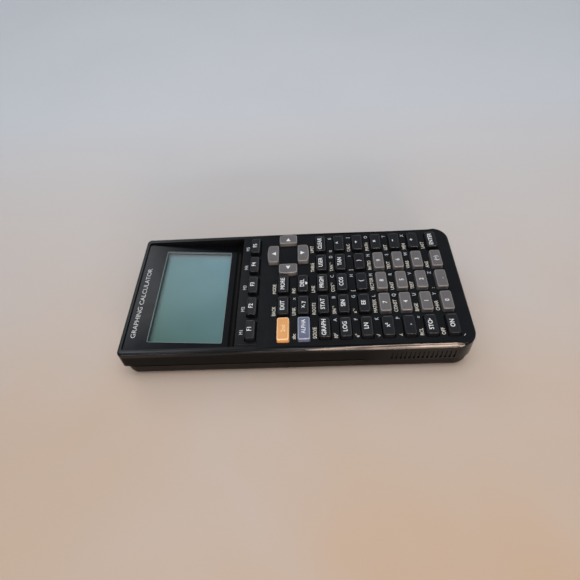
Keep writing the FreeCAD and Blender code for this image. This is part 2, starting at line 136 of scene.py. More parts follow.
def mixed(tree, factor, first, second):
    """Colour between two colours or colour sockets."""
    node = tree.nodes.new("ShaderNodeMix")
    node.data_type = "RGBA"
    tree.links.new(factor, node.inputs["Factor"])
    for name, colour in (("A", first), ("B", second)):
        socket = [s for s in node.inputs if s.name == name and s.type == "RGBA"][0]
        if isinstance(colour, tuple):
            socket.default_value = colour
        else:
            tree.links.new(colour, socket)
    return [s for s in node.outputs if s.type == "RGBA"][0]


def blended(tree, factor, first, second):
    """Value between two numbers or value sockets."""
    node = tree.nodes.new("ShaderNodeMix")
    tree.links.new(factor, node.inputs["Factor"])
    for name, value in (("A", first), ("B", second)):
        socket = [s for s in node.inputs if s.name == name and s.type == "VALUE"][0]
        if isinstance(value, float):
            socket.default_value = value
        else:
            tree.links.new(value, socket)
    return [s for s in node.outputs if s.type == "VALUE"][0]


def streaks(tree, scale, share):
    """Noise drawn out along Y, in which it keeps a share of its scale."""
    stretch = tree.nodes.new("ShaderNodeMapping")
    stretch.inputs["Scale"].default_value = (1.0, share, 1.0)
    tree.links.new(object_coordinates(tree), stretch.inputs["Vector"])
    lines = tree.nodes.new("ShaderNodeTexNoise")
    lines.inputs["Scale"].default_value = scale
    tree.links.new(stretch.outputs["Vector"], lines.inputs["Vector"])
    return lines.outputs["Fac"]


def separated(tree):
    """X, Y and Z over the object, by name."""
    split = tree.nodes.new("ShaderNodeSeparateXYZ")
    tree.links.new(object_coordinates(tree), split.inputs["Vector"])
    return split.outputs


def bump(tree, shader, height, depth, strength=1.0):
    """Surface relief; depth is in metres."""
    node = tree.nodes.new("ShaderNodeBump")
    node.inputs["Distance"].default_value = depth
    node.inputs["Strength"].default_value = strength
    tree.links.new(height, node.inputs["Height"])
    tree.links.new(node.outputs["Normal"], shader.inputs["Normal"])


def moulded_plastic(name, colour, roughness, spread=0.12, specular=0.35, grain=2600):
    """Moulded plastic: fine spark-eroded grain, slight mottling, handling marks in the gloss."""
    material, tree, shader = new_material(name)
    mottling = ranged(tree, noise(tree, 160, 4), 0.0, 1.0)
    shade = mixed(tree, mottling, scaled(colour, 1 - spread), scaled(colour, 1 + spread))
    tree.links.new(shade, shader.inputs["Base Color"])
    marks = ranged(tree, noise(tree, 70, 5, 0.6), roughness - 0.05, roughness + 0.06)
    tree.links.new(marks, shader.inputs["Roughness"])
    shader.inputs["Specular IOR Level"].default_value = specular
    bump(tree, shader, noise(tree, grain, 2), 0.00001)
    return material


def shell_plastic():
    """Slate plastic of the face; below it darker with painted shade and browner; streaky rim
    chamfers.
    """
    material, tree, shader = new_material("slate_plastic")
    place = separated(tree)
    wall_to_face = (face_z * MM - 3.2 * MM, face_z * MM - 1.2 * MM)
    worn_stretch = (-66 * MM, -34 * MM)        # the walls shine below it and are dull above it
    rim_edge = (37.2 * MM, 37.6 * MM)          # from the middle of the face to its long chamfers
    # Below the face, on the side walls and in the display recess, the colour turns darker and
    # browner: painted shade, with some of the walls' own brown.
    height = ranged(tree, place["Z"], 0.0, 1.0, wall_to_face)
    mottling = ranged(tree, noise(tree, 160, 4), 0.0, 1.0)
    upper = mixed(tree, mottling, linear(15, 16, 19), linear(18, 19, 22))
    brown_with_painted_shade = mixed(tree, mottling, linear(12, 11, 11), linear(16, 15, 14))
    tree.links.new(mixed(tree, height, brown_with_painted_shade, upper), shader.inputs["Base Color"])
    tree.links.new(ranged(tree, noise(tree, 70, 5, 0.6), 0.17, 0.28), shader.inputs["Roughness"])
    worn = ranged(tree, place["Y"], 0.22, 0.04, worn_stretch)
    side = tree.nodes.new("ShaderNodeMath")
    side.operation = "ABSOLUTE"
    tree.links.new(place["X"], side.inputs[0])
    rim = ranged(tree, side.outputs[0], 0.0, 1.0, rim_edge)
    polish = ranged(tree, streaks(tree, 1100, 0.02), 0.05, 0.42, (0.38, 0.62))
    gloss = blended(tree, height, worn, blended(tree, rim, 0.2, polish))
    tree.links.new(gloss, shader.inputs["Specular IOR Level"])
    bump(tree, shader, noise(tree, 2600, 2), 0.00001)
    return material


def printed_ink(name, colour):
    """Screen-printed ink with a slightly uneven cover."""
    material, tree, shader = new_material(name)
    cover = ranged(tree, noise(tree, 1500, 3), 0.0, 1.0)
    shade = mixed(tree, cover, scaled(colour, 0.82), colour)
    tree.links.new(shade, shader.inputs["Base Color"])
    shader.inputs["Roughness"].default_value = 0.55
    bump(tree, shader, noise(tree, 5000, 2), 0.000006)
    return material


def metal(name, colour, roughness, grain=900):
    """Plated or rolled metal with fine rolling marks."""
    material, tree, shader = new_material(name)
    lines = streaks(tree, grain, 0.08)
    tree.links.new(mixed(tree, lines, scaled(colour, 0.85), colour), shader.inputs["Base Color"])
    rolled = ranged(tree, lines, roughness - 0.06, roughness + 0.08)
    tree.links.new(rolled, shader.inputs["Roughness"])
    shader.inputs["Metallic"].default_value = 1.0
    bump(tree, shader, lines, 0.000008)
    return material


def display_print():
    """Dark printed border behind the glossy plate, with fine dust."""
    material, tree, shader = new_material("display_border")
    dust = ranged(tree, noise(tree, 900, 6), 0.0, 1.0, (0.62, 0.8))
    shade = mixed(tree, dust, linear(9, 11, 15), linear(24, 27, 32))
    tree.links.new(shade, shader.inputs["Base Color"])
    smears = ranged(tree, noise(tree, 60, 5, 1.2), 0.12, 0.2)
    tree.links.new(smears, shader.inputs["Roughness"])
    shader.inputs["Specular IOR Level"].default_value = 0.3
    bump(tree, shader, noise(tree, 900, 6), 0.000004)
    return material


def clear_window():
    """Clear part of the plate: mostly transparent, with surface gloss and faint smears."""
    material, tree, shader = new_material("clear_window")
    shader.inputs["Base Color"].default_value = (0.03, 0.035, 0.035, 1)
    shader.inputs["Alpha"].default_value = 0.08
    smears = ranged(tree, noise(tree, 60, 5, 1.2), 0.18, 0.26)
    tree.links.new(smears, shader.inputs["Roughness"])
    bump(tree, shader, noise(tree, 900, 6), 0.000002)
    material.surface_render_method = "BLENDED"
    return material


def liquid_crystal():
    """Reflective display: grey-green, a painted reflection bluer away from the near side, fine grid
    of cells.
    """
    material, tree, shader = new_material("liquid_crystal")
    place = separated(tree)
    painted_reflection_range = (-92 * MM, -8 * MM)
    haze_band = (26.5 * MM, 31.5 * MM)
    end = on_lens(0, window_end, -2).y         # of the opening, at about the screen's height
    shade_band = ((end - 2.6) * MM, end * MM)
    painted_reflection_slant = tree.nodes.new("ShaderNodeMath")
    painted_reflection_slant.operation = "MULTIPLY_ADD"
    painted_reflection_slant.inputs[1].default_value = -0.9
    tree.links.new(place["Y"], painted_reflection_slant.inputs[0])
    tree.links.new(place["X"], painted_reflection_slant.inputs[2])
    # Painted reflection: paler and bluer away from the near side and towards the keys.
    across = ranged(tree, painted_reflection_slant.outputs[0], 0.0, 1.0, painted_reflection_range)
    shade = mixed(tree, across, linear(50, 104, 90), linear(142, 182, 196))
    cloud = ranged(tree, noise(tree, 45, 3), 0.0, 0.35)
    clouded = mixed(tree, cloud, shade, linear(88, 134, 134))
    lines = []
    for axis in ("X", "Y"):
        wave = tree.nodes.new("ShaderNodeMath")
        wave.operation = "PINGPONG"
        wave.inputs[1].default_value = 0.5 * display_cell_pitch * MM
        tree.links.new(place[axis], wave.inputs[0])
        lines.append(ranged(tree, wave.outputs[0], 1.0, 0.0, (0.0, display_cell_gap * MM)))
    grid = tree.nodes.new("ShaderNodeMath")
    grid.operation = "MAXIMUM"
    for index, line in enumerate(lines):
        tree.links.new(line, grid.inputs[index])
    faint = ranged(tree, grid.outputs[0], 0.0, 0.1, (0.0, 1.0))
    gridded = mixed(tree, faint, clouded, linear(150, 172, 160))
    shade_of_border = ranged(tree, place["Y"], 0.0, 0.8, shade_band)
    shaded = mixed(tree, shade_of_border, gridded, linear(40, 48, 54))
    haze = ranged(tree, place["X"], 0.0, 0.8, haze_band)
    tree.links.new(mixed(tree, haze, shaded, linear(142, 144, 154)), shader.inputs["Base Color"])
    shader.inputs["Roughness"].default_value = 0.38
    shader.inputs["Coat Weight"].default_value = 0.6
    shader.inputs["Coat Roughness"].default_value = 0.2
    bump(tree, shader, noise(tree, 4000, 2), 0.000004)
    return material


def circuit_green():
    """Solder resist over copper tracks."""
    material, tree, shader = new_material("circuit_board_green")
    cells = tree.nodes.new("ShaderNodeTexVoronoi")
    cells.inputs["Scale"].default_value = 420
    tree.links.new(object_coordinates(tree), cells.inputs["Vector"])
    tracks = ranged(tree, cells.outputs["Distance"], 1.0, 0.0, (0.1, 0.3))
    shade = mixed(tree, tracks, linear(20, 74, 42), linear(48, 112, 60))
    tree.links.new(shade, shader.inputs["Base Color"])
    shader.inputs["Roughness"].default_value = 0.35
    bump(tree, shader, cells.outputs["Distance"], 0.00003)
    return material


def see_through_below(tree, shader):
    """Hide the underside, so that the open battery door and its bay can be looked at from below."""
    below = tree.nodes.new("ShaderNodeNewGeometry").outputs["Backfacing"]
    clear = tree.nodes.new("ShaderNodeBsdfTransparent")
    mix = tree.nodes.new("ShaderNodeMixShader")
    tree.links.new(below, mix.inputs[0])
    tree.links.new(shader.outputs["BSDF"], mix.inputs[1])
    tree.links.new(clear.outputs["BSDF"], mix.inputs[2])
    tree.links.new(mix.outputs["Shader"], tree.nodes["Material Output"].inputs["Surface"])


def table_cloth():
    """Plain pale floor with painted light, warmer on the near side and cooler far off, and a soft
    fine texture.
    """
    material, tree, shader = new_material("table_cloth")
    # Painted light: warm on the near side and cool on the far side, as from the lamps there.
    distance = ranged(tree, separated(tree)["X"], 0.0, 1.0, (-160 * MM, 220 * MM))
    shade = mixed(tree, distance, warm_lit_floor_near, cool_lit_floor_far)
    cloud = ranged(tree, noise(tree, 7, 3, 0.5), 0.0, 0.35)
    tree.links.new(mixed(tree, cloud, shade, scaled(cool_lit_floor_far, 0.9)), shader.inputs["Base Color"])
    shader.inputs["Roughness"].default_value = 0.85
    shader.inputs["Sheen Weight"].default_value = 0.1
    bump(tree, shader, noise(tree, 900, 4), 0.00008, 0.5)
    see_through_below(tree, shader)
    return material


# Floor colours with painted light: warm near, cool far.
warm_lit_floor_near = linear(192, 160, 126)
cool_lit_floor_far = linear(202, 206, 212)

face_plastic = shell_plastic()
rear_plastic = moulded_plastic("brown_black_plastic", linear(17, 13, 10), 0.36, 0.12, 0.08)
# The rim materials are lighter copies of the key plastics: a painted highlight where the rounded rims
# catch the light.
dark_key_plastic = moulded_plastic("dark_key_plastic", linear(20, 21, 25), 0.3, 0.08)
dark_key_rim_highlight = moulded_plastic("dark_key_rim_highlight", linear(24, 25, 29), 0.28, 0.08)
grey_key_plastic = moulded_plastic("grey_key_plastic", linear(97, 95, 97), 0.4, 0.05)
grey_key_rim_highlight = moulded_plastic("grey_key_rim_highlight", linear(128, 124, 121), 0.3, 0.05)
orange_key_plastic = moulded_plastic("orange_key_plastic", linear(220, 158, 98), 0.38, 0.05)
orange_key_rim_highlight = moulded_plastic("orange_key_rim_highlight", linear(248, 210, 164), 0.35, 0.05)
blue_key_plastic = moulded_plastic("blue_key_plastic", linear(96, 104, 128), 0.4, 0.05)
blue_key_rim_highlight = moulded_plastic("blue_key_rim_highlight", linear(156, 162, 178), 0.35, 0.05)
silicone = moulded_plastic("grey_silicone", linear(92, 92, 96), 0.65, 0.06, 0.4, 1500)
socket_plastic = moulded_plastic("socket_plastic", linear(22, 22, 24), 0.4)
cell_jacket = metal("cell_jacket", linear(150, 140, 110), 0.35)
steel = metal("zinc_plated_steel", linear(178, 180, 184), 0.32)
nickel = metal("nickel_plate", linear(196, 192, 182), 0.25)
white_ink = printed_ink("white_ink", linear(236, 238, 240))
cream_ink = printed_ink("cream_ink", linear(222, 217, 204))
blue_ink = printed_ink("pale_blue_ink", linear(196, 202, 212))
grey_ink = printed_ink("grey_ink", linear(200, 203, 206))
key_cream_ink = printed_ink("key_cream_ink", linear(250, 222, 170))
# Pale colour of the opening's inner wall and of the thin line around it: a painted highlight of the
# window's lit edge.
window_edge_highlight = printed_ink("window_edge_painted_highlight", linear(132, 150, 150))
board_material = circuit_green()
border_material = display_print()
window_material = clear_window()
crystal_material = liquid_crystal()


# ---- mesh helpers ------------------------------------------------------------------------
def rounded_outline(width, depth, radius, steps=4):
    """Counter-clockwise points of a rectangle with round corners, about the origin."""
    points = []
    corners = [(1, -1, -90), (1, 1, 0), (-1, 1, 90), (-1, -1, 180)]
    for side_x, side_y, start in corners:
        centre_x = side_x * (width / 2 - radius)
        centre_y = side_y * (depth / 2 - radius)
        for step in range(steps + 1):
            angle = math.radians(start + 90 * step / steps)
            points.append((centre_x + radius * math.cos(angle),
                           centre_y + radius * math.sin(angle)))
    return points


def bowed_outline(width, depth, radius, out, bow, steps=8):
    """Rounded rectangle with extra points on its outer side, which bows outwards."""
    along, across = (width, depth) if out[0] else (depth, width)
    side = []
    for step in range(1, steps):
        side.append((along / 2, -across / 2 + radius + (across - 2 * radius) * step / steps))
    base = rounded_outline(along, across, radius)
    per_corner = len(base) // 4
    base = base[:per_corner] + side + base[per_corner:]
    bowed = []
    for u, v in base:
        share = 1 - (2 * v / across) ** 2
        if u > 0:
            u += bow * max(0.0, share) * min(1.0, 2 * u / along)
        bowed.append((out[0] * u - out[1] * v, out[1] * u + out[0] * v))
    return bowed


def new_object(name, mesh, materials, smooth=True):
    """Object from a bmesh, with its mesh in metres."""
    data = bpy.data.meshes.new(name)
    bmesh.ops.recalc_face_normals(mesh, faces=mesh.faces)
    mesh.to_mesh(data)
    mesh.free()
    data.transform(Matrix.Scale(MM, 4))
    for material in materials:
        data.materials.append(material)
    for polygon in data.polygons:
        polygon.use_smooth = smooth
    thing = bpy.data.objects.new(name, data)
    bpy.context.scene.collection.objects.link(thing)
    return thing


def weighted(thing):
    """Keep flat faces flat under smooth shading."""
    modifier = thing.modifiers.new("even_shading", "WEIGHTED_NORMAL")
    modifier.weight = 90
    return thing


def stacked_rings(mesh, rings):
    """Closed skin through rings of (points, z, material index), with a flat face at each end."""
    loops = []
    for points, z, _ in rings:
        loops.append([mesh.verts.new((x, y, z)) for x, y in points])
    count = len(loops[0])
    for level in range(1, len(rings)):
        low, high = loops[level - 1], loops[level]
        for index in range(count):
            after = (index + 1) % count
            face = mesh.faces.new((low[index], low[after], high[after], high[index]))
            face.material_index = rings[level][2]
    mesh.faces.new(list(reversed(loops[0]))).material_index = rings[0][2]
    mesh.faces.new(loops[-1]).material_index = rings[-1][2]


# ---- key caps ----------------------------------------------------------------------------
flange_growth = 1.4            # flange of a key against its top, all told
foot_growth = 0.6
flange_thickness = 1.0
corner_r = 0.95
arrow_bow = 0.7
dish_depth = 0.12
# From the foot of a cap to its dish: growth of the outline, height against the top, material
# (0 for the body, 1 for the rim, which is lighter as a painted highlight) and corner radius.
cap_profile = [
    (0.12, -0.55, 0, corner_r),
    (0.02, -0.34, 1, corner_r),
    (-0.10, -0.14, 1, corner_r),
    (-0.32, -0.03, 1, corner_r),
    (-0.60, 0.0, 1, 0.8),
    (-0.85, -0.01, 1, 0.7),
    (-1.10, -0.07, 0, 0.6),
    (-1.45, -dish_depth, 0, 0.5),
]
arrow_directions = {"key_up": (0, 1), "key_down": (0, -1), "key_left": (-1, 0), "key_right": (1, 0)}
grey_keys = ["key_%d" % digit for digit in range(10)]
grey_keys += ["key_decimal_point", "key_negative"] + list(arrow_directions)


def key_finish(node):
    """Materials of body and rim, the rim's lighter one a painted highlight, and the record's slot."""
    if node == "key_second":
        return orange_key_plastic, orange_key_rim_highlight, "orange_key"
    if node == "key_alpha":
        return blue_key_plastic, blue_key_rim_highlight, "blue_key"
    if node in grey_keys:
        return grey_key_plastic, grey_key_rim_highlight, "grey_keys"
    menu = node[:5] == "key_f" and node[5:].isdigit()
    return dark_key_plastic, dark_key_rim_highlight, "menu_keys" if menu else "dark_keys"


def key_centre(node):
    """Centre of the key's top, without the bow of an arrow key's outer side."""
    low, high = node_box(node)
    out = arrow_directions.get(node, (0, 0))
    return Vector(((low.x + high.x - out[0] * arrow_bow) / 2,
                   (low.y + high.y - out[1] * arrow_bow) / 2, high.z))


def body_of_key(node):
    return "cap_" + node[len("key_"):]


def make_key(node):
    """Cap with a flange, drafted sides, a rounded rim with a painted highlight where it catches
    light, and a dish.
    """
    low, high = node_box(node)
    centre = key_centre(node)
    out = arrow_directions.get(node)
    width = high.x - low.x - flange_growth
    depth = high.y - low.y - flange_growth
    if out:
        width -= abs(out[0]) * arrow_bow
        depth -= abs(out[1]) * arrow_bow

    def ring(growth, z, material=0, radius=corner_r):
        if out:
            points = bowed_outline(width + growth, depth + growth, radius, out, arrow_bow)
        else:
            points = rounded_outline(width + growth, depth + growth, radius)
        return [(centre.x + x, centre.y + y) for x, y in points], z, material

    rings = [
        ring(flange_growth, low.z),
        ring(flange_growth, low.z + flange_thickness),
        ring(foot_growth, low.z + flange_thickness),
    ]
    for growth, rise, material, radius in cap_profile:
        rings.append(ring(growth, high.z + rise, material, radius))
    mesh = bmesh.new()
    stacked_rings(mesh, rings)
    plastic, rim, slot = key_finish(node)
    cap = weighted(new_object(node + "_cap", mesh, [plastic, rim]))
    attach(cap, body_of_key(node))
    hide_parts(node)


# ---- lettering ---------------------------------------------------------------------------
letter_thickness = 0.03
legend_rise = 0.4 * letter_thickness       # from the dish to the middle of a legend's thickness
print_rise = 0.3 * letter_thickness        # the same for what is printed on case and display
weld_distance = 0.0005
cap_height = 0.73              # capital height as a share of the font size


def letters(text, size, thicken=0.0):
    """Mesh of a line of text that starts at the origin, in millimetres, as thin closed solids."""
    curve = bpy.data.curves.new("line", "FONT")
    curve.body = text
    curve.size = size
    curve.extrude = letter_thickness / 2
    curve.offset = thicken
    curve.resolution_u = 3
    curve.fill_mode = "BOTH"
    holder = bpy.data.objects.new("line", curve)
    bpy.context.scene.collection.objects.link(holder)
    bpy.context.view_layer.update()
    evaluated = holder.evaluated_get(bpy.context.evaluated_depsgraph_get())
    data = bpy.data.meshes.new_from_object(evaluated)
    bpy.data.objects.remove(holder)
    mesh = bmesh.new()
    mesh.from_mesh(data)
    bpy.data.meshes.remove(data)
    bpy.data.curves.remove(curve)
    bmesh.ops.remove_doubles(mesh, verts=mesh.verts, dist=weld_distance)
    return mesh


def span(mesh):
    """Lowest and highest x of a mesh."""
    xs = [vertex.co.x for vertex in mesh.verts]
    return min(xs), max(xs)


def set_line(mesh, text, size, align, x, y, narrow=1.0, thicken=0.0, widest=None):
    """Add a line of text to a mesh; y is the middle of its capitals."""
    line = letters(text, size, thicken)
    low, high = span(line)
    if widest and (high - low) * narrow > widest:
        narrow = widest / (high - low)
    start = low if align == "left" else (low + high) / 2
    place = Matrix.Translation((x, y - cap_height * size / 2, 0))
    place @= Matrix.Diagonal((narrow, 1, 1, 1)) @ Matrix.Translation((-start, 0, 0))
    bmesh.ops.transform(line, matrix=place, verts=line.verts)
    data = bpy.data.meshes.new("line")
    line.to_mesh(data)
    line.free()
    mesh.from_mesh(data)
    bpy.data.meshes.remove(data)


def set_triangle(mesh, x, y, size, out):
    """Filled triangle that points along out."""
    tip, back, half = 0.55 * size, -0.45 * size, 0.55 * size
    corners = [(tip, 0), (back, half), (back, -half)]
    low, high = -letter_thickness / 2, letter_thickness / 2
    flat = [(x + out[0] * u - out[1] * v, y + out[1] * u + out[0] * v) for u, v in corners]
    stacked_rings(mesh, [(flat, low, 0), (flat, high, 0)])


key_text = {
    "on": "ON", "decimal_point": ".", "negative": "(−)", "enter": "ENTER",
    "store": "STO▸", "plus": "+", "comma": ",", "minus": "−", "square": "x²",
    "multiply": "×", "ln": "LN", "ee": "EE", "open_bracket": "(", "close_bracket": ")",
    "divide": "÷", "log": "LOG", "sin": "SIN", "cos": "COS", "tan": "TAN", "power": "^",
    "graph": "GRAPH", "stat": "STAT", "program": "PRGM", "custom": "USER", "clear": "CLEAR",
    "alpha": "ALPHA", "x_variable": "x, y", "delete": "DEL", "second": "2nd", "exit": "EXIT",
    "more": "MORE",
}
key_text.update({str(digit): str(digit) for digit in range(10)})
key_text.update({"f%d" % number: "F%d" % number for number in range(1, 6)})
big_signs = ("plus", "minus", "multiply", "divide", "power")
# How a legend is set: size, shift along X and Y from the centre, narrowing, thickening, and the
# width of cap that it has to leave free.
legend_styles = {
    "grey": (3.0, -0.3, 0.15, 0.95, 0.05, 1.5),
    "sign": (3.1, 0.0, 0.8, 1.0, 0.06, 1.5),
    "second": (3.0, 0.0, 0.0, 0.95, 0.03, 1.5),
    "alpha": (3.0, 0.8, 0.3, 0.9, 0.02, 3.4),
    "word": (3.1, 0.0, 0.6, 0.95, 0.035, 1.5),
}
triangle_size = 2.3
triangle_shift = (0.4, 0.2)    # along X or Y, from the centre of an arrow key to the inside


def legend_style(node):
    """Name of the style of a key's legend."""
    name = node[len("key_"):]
    if node in grey_keys:
        return "grey"
    if name in big_signs:
        return "sign"
    return name if name in legend_styles else "word"


def make_legend(node):
    """Printed legend in the dish of a key."""
    name = node[len("key_"):]
    centre = key_centre(node)
    low, high = node_box(node)
    mesh = bmesh.new()
    if node in arrow_directions:
        out = arrow_directions[node]
        set_triangle(mesh, centre.x - triangle_shift[0] * out[0],
                     centre.y - triangle_shift[1] * out[1], triangle_size, out)
    else:
        size, shift_x, shift_y, narrow, thicken, free = legend_styles[legend_style(node)]
        widest = high.x - low.x - flange_growth - free
        set_line(mesh, key_text[name], size, "centre", centre.x + shift_x, centre.y + shift_y,
                 narrow, thicken, widest)
    lift = centre.z - dish_depth + legend_rise
    bmesh.ops.translate(mesh, vec=(0, 0, lift), verts=mesh.verts)
    ink = key_cream_ink if name == "second" else white_ink
    legend = new_object("legend_" + name, mesh, [ink], smooth=False)
    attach(legend, body_of_key(node))


second_labels = {
    "exit": "BACK", "more": "MODE", "x_variable": "LINK", "delete": "INS", "alpha": "abc",
    "graph": "SOLVE", "stat": "ROOTS", "program": "LINE", "custom": "TABLE", "clear": "LIMIT",
    "log": "10ˣ", "sin": "SIN⁻¹", "cos": "COS⁻¹", "tan": "TAN⁻¹",
    "power": "π", "ln": "eˣ", "ee": "x⁻¹", "open_bracket": "[",
    "close_bracket": "]", "divide": "CALC", "square": "√", "7": "MATRIX", "8": "VECTOR",
    "9": "RATIO", "multiply": "MATH", "comma": "∠", "4": "CONST", "5": "UNIT", "6": "TEXT",
    "minus": "LIST", "store": "RCL", "1": "BASE", "2": "TEST", "3": "VARS", "plus": "MEM",
    "on": "OFF", "0": "CHAR", "decimal_point": ":", "negative": "ANS", "enter": "LAST",
}
letter_labels = {
    "x_variable": "x", "log": "A", "sin": "B", "cos": "C", "tan": "D", "power": "E", "ln": "F",
    "ee": "G", "open_bracket": "H", "close_bracket": "I", "divide": "J", "square": "K", "7": "L",
    "8": "M", "9": "N", "multiply": "O", "comma": "P", "4": "Q", "5": "R", "6": "S", "minus": "T",
    "store": "=", "1": "U", "2": "V", "3": "W", "plus": "X", "0": "Y", "decimal_point": "Z",
}
label_gap = 4.97               # from the centre of a key to the middle of the label above it
label_size = 2.5
label_narrow = 0.92
label_thicken = 0.025
label_left = -5.0              # start of a word, from the centre of its key
label_widest = 10.6
label_widest_by_letter = 8.6
letter_right = 5.6             # middle of a letter, from the centre of its key
menu_label_shift = (-0.3, 4.8)


def lay_on_case(name, mesh, ink, z):
    """Printing on the front shell at height z."""
    bmesh.ops.translate(mesh, vec=(0, 0, z + print_rise), verts=mesh.verts)
    printed = new_object(name, mesh, [ink], smooth=False)
    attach(printed, "case")


def make_face_labels():
    """Words in cream, letters in pale blue, and a mark above each menu key."""
    words = bmesh.new()
    for name, text in second_labels.items():
        centre = key_centre("key_" + name)
        widest = label_widest_by_letter if name in letter_labels else label_widest
        set_line(words, text, label_size, "left", centre.x + label_left, centre.y + label_gap,
                 label_narrow, label_thicken, widest)
    lay_on_case("second_function_labels", words, cream_ink, face_z)
    singles = bmesh.new()
    for name, text in letter_labels.items():
        centre = key_centre("key_" + name)
        set_line(singles, text, label_size, "centre", centre.x + letter_right,
                 centre.y + label_gap, 1.0, label_thicken)
    lay_on_case("letter_labels", singles, blue_ink, face_z)
    menu = bmesh.new()
    for number in range(1, 6):
        centre = key_centre("key_f%d" % number)
        set_line(menu, "M%d" % number, label_size, "centre", centre.x + menu_label_shift[0],
                 centre.y + menu_label_shift[1], 1.0, label_thicken)
    lay_on_case("menu_labels", menu, grey_ink, menu_block_z)


# ---- marks of use ------------------------------------------------------------------------
fleck_shift = (-0.3, -1.7)     # from the centre of the delete key
fleck_points = 18
fleck_radii = (0.85, 0.7)      # along X and Y, and how much each of them wavers
fleck_waver = (0.2, 0.15)
fleck_crown = 0.6              # width of its flat top as a share of its foot
fleck_side = 0.13              # height of its steep side and of its top above the dish
fleck_top = 0.24
scratch_place = (-34.2, -80.3)
scratch_bend = [(-0.35, 0.55), (-0.1, 0.1), (0.3, -0.3), (0.75, -0.5)]
scratch_width = (0.16, 0.2)
scratch_rise = 0.015


def make_fleck():
    """White speck, like a dab of paint, on the delete key."""
    centre = key_centre("key_delete")
    middle = Vector((centre.x + fleck_shift[0], centre.y + fleck_shift[1]))
    turns = [2 * math.pi * step / fleck_points for step in range(fleck_points)]
    foot = []
    for turn in turns:
        reach_x = fleck_radii[0] + fleck_waver[0] * math.sin(3 * turn)
        reach_y = fleck_radii[1] + fleck_waver[1] * math.cos(2 * turn)
        foot.append((middle.x + reach_x * math.cos(turn), middle.y + reach_y * math.sin(turn)))
    crown = [(middle.x + fleck_crown * (x - middle.x), middle.y + fleck_crown * (y - middle.y))
             for x, y in foot]
    dish = centre.z - dish_depth
    mesh = bmesh.new()
    stacked_rings(mesh, [(foot, dish - 0.02, 0), (foot, dish + fleck_side, 0),
                         (crown, dish + fleck_top, 0)])
    fleck = new_object("white_fleck", mesh, [white_ink])
    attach(fleck, "cap_delete")


def make_scratch():
    """Short pale scratch on the face beside the last key."""
    low = [(scratch_place[0] + x, scratch_place[1] + y) for x, y in scratch_bend]
    high = [(x + scratch_width[0], y + scratch_width[1]) for x, y in reversed(low)]
    mesh = bmesh.new()
    stacked_rings(mesh, [(low + high, face_z - 0.01, 0), (low + high, face_z + scratch_rise, 0)])
    scratch = new_object("face_scratch", mesh, [grey_ink], smooth=False)
    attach(scratch, "case")


# ---- display -----------------------------------------------------------------------------
lens_corner_r = 1.1
lens_width = window_high.x - window_low.x
tilt_gain = 0.1                # what the tilted thickness adds to the length of the box
lens_length = (window_high.y - window_low.y) / math.cos(tilt) - tilt_gain
edge_bevel = 0.12
window_corner_r = 0.5
window_play = 0.01             # around the clear window in its opening
window_drop = 0.02             # of its face below the border's
edge_line_width = 0.3
edge_line_corner_r = 0.8
edge_line_top = 0.02
edge_line_bottom = -0.3
screen_corner_r = 0.6
caption = "GRAPHING CALCULATOR"
caption_size = 3.3
caption_left = -29.0
caption_stretch = 1.2
caption_widest = 52.0
caption_along = 47.4           # middle of the caption, from the lens's deep end


def lens_piece(name, outer, inner, materials, top, bottom):
    """Plate on the slope between an outer outline and, if given, an inner one."""
    mesh = bmesh.new()

    def loop(points, height):
        return [mesh.verts.new(on_lens(x, along, height)) for x, along in points]

    def bridge(low, high, index):
        count = len(low)
        for step in range(count):
            after = (step + 1) % count
            mesh.faces.new((low[step], low[after], high[after], high[step])).material_index = index

    def shrunk(points, centre, amount):
        result = []
        for x, along in points:
            away = Vector((x - centre[0], along - centre[1]))
            away *= 1 - amount / max(away.length, 0.001)
            result.append((centre[0] + away.x, centre[1] + away.y))
        return result

    outer_centre = (0, sum(point[1] for point in outer) / len(outer))
    low_outer = loop(outer, bottom)
    mid_outer = loop(outer, top - edge_bevel)
    top_outer = loop(shrunk(outer, outer_centre, edge_bevel), top)
    bridge(low_outer, mid_outer, 0)
    bridge(mid_outer, top_outer, 0)
    if inner:
        low_inner = loop(inner, bottom)
        top_inner = loop(inner, top)
        bridge(top_outer, top_inner, 0)
        bridge(top_inner, low_inner, len(materials) - 1)
        bridge(low_inner, low_outer, 0)
    else:
        mesh.faces.new(top_outer)
        mesh.faces.new(list(reversed(low_outer)))
    return new_object(name, mesh, materials, smooth=False)


def placed_outline(half, start, end, radius):
    """Round-cornered outline on the slope: from start to end along it, and half to each side."""
    middle = (start + end) / 2
    return [(x, along + middle) for x, along in rounded_outline(2 * half, end - start, radius)]


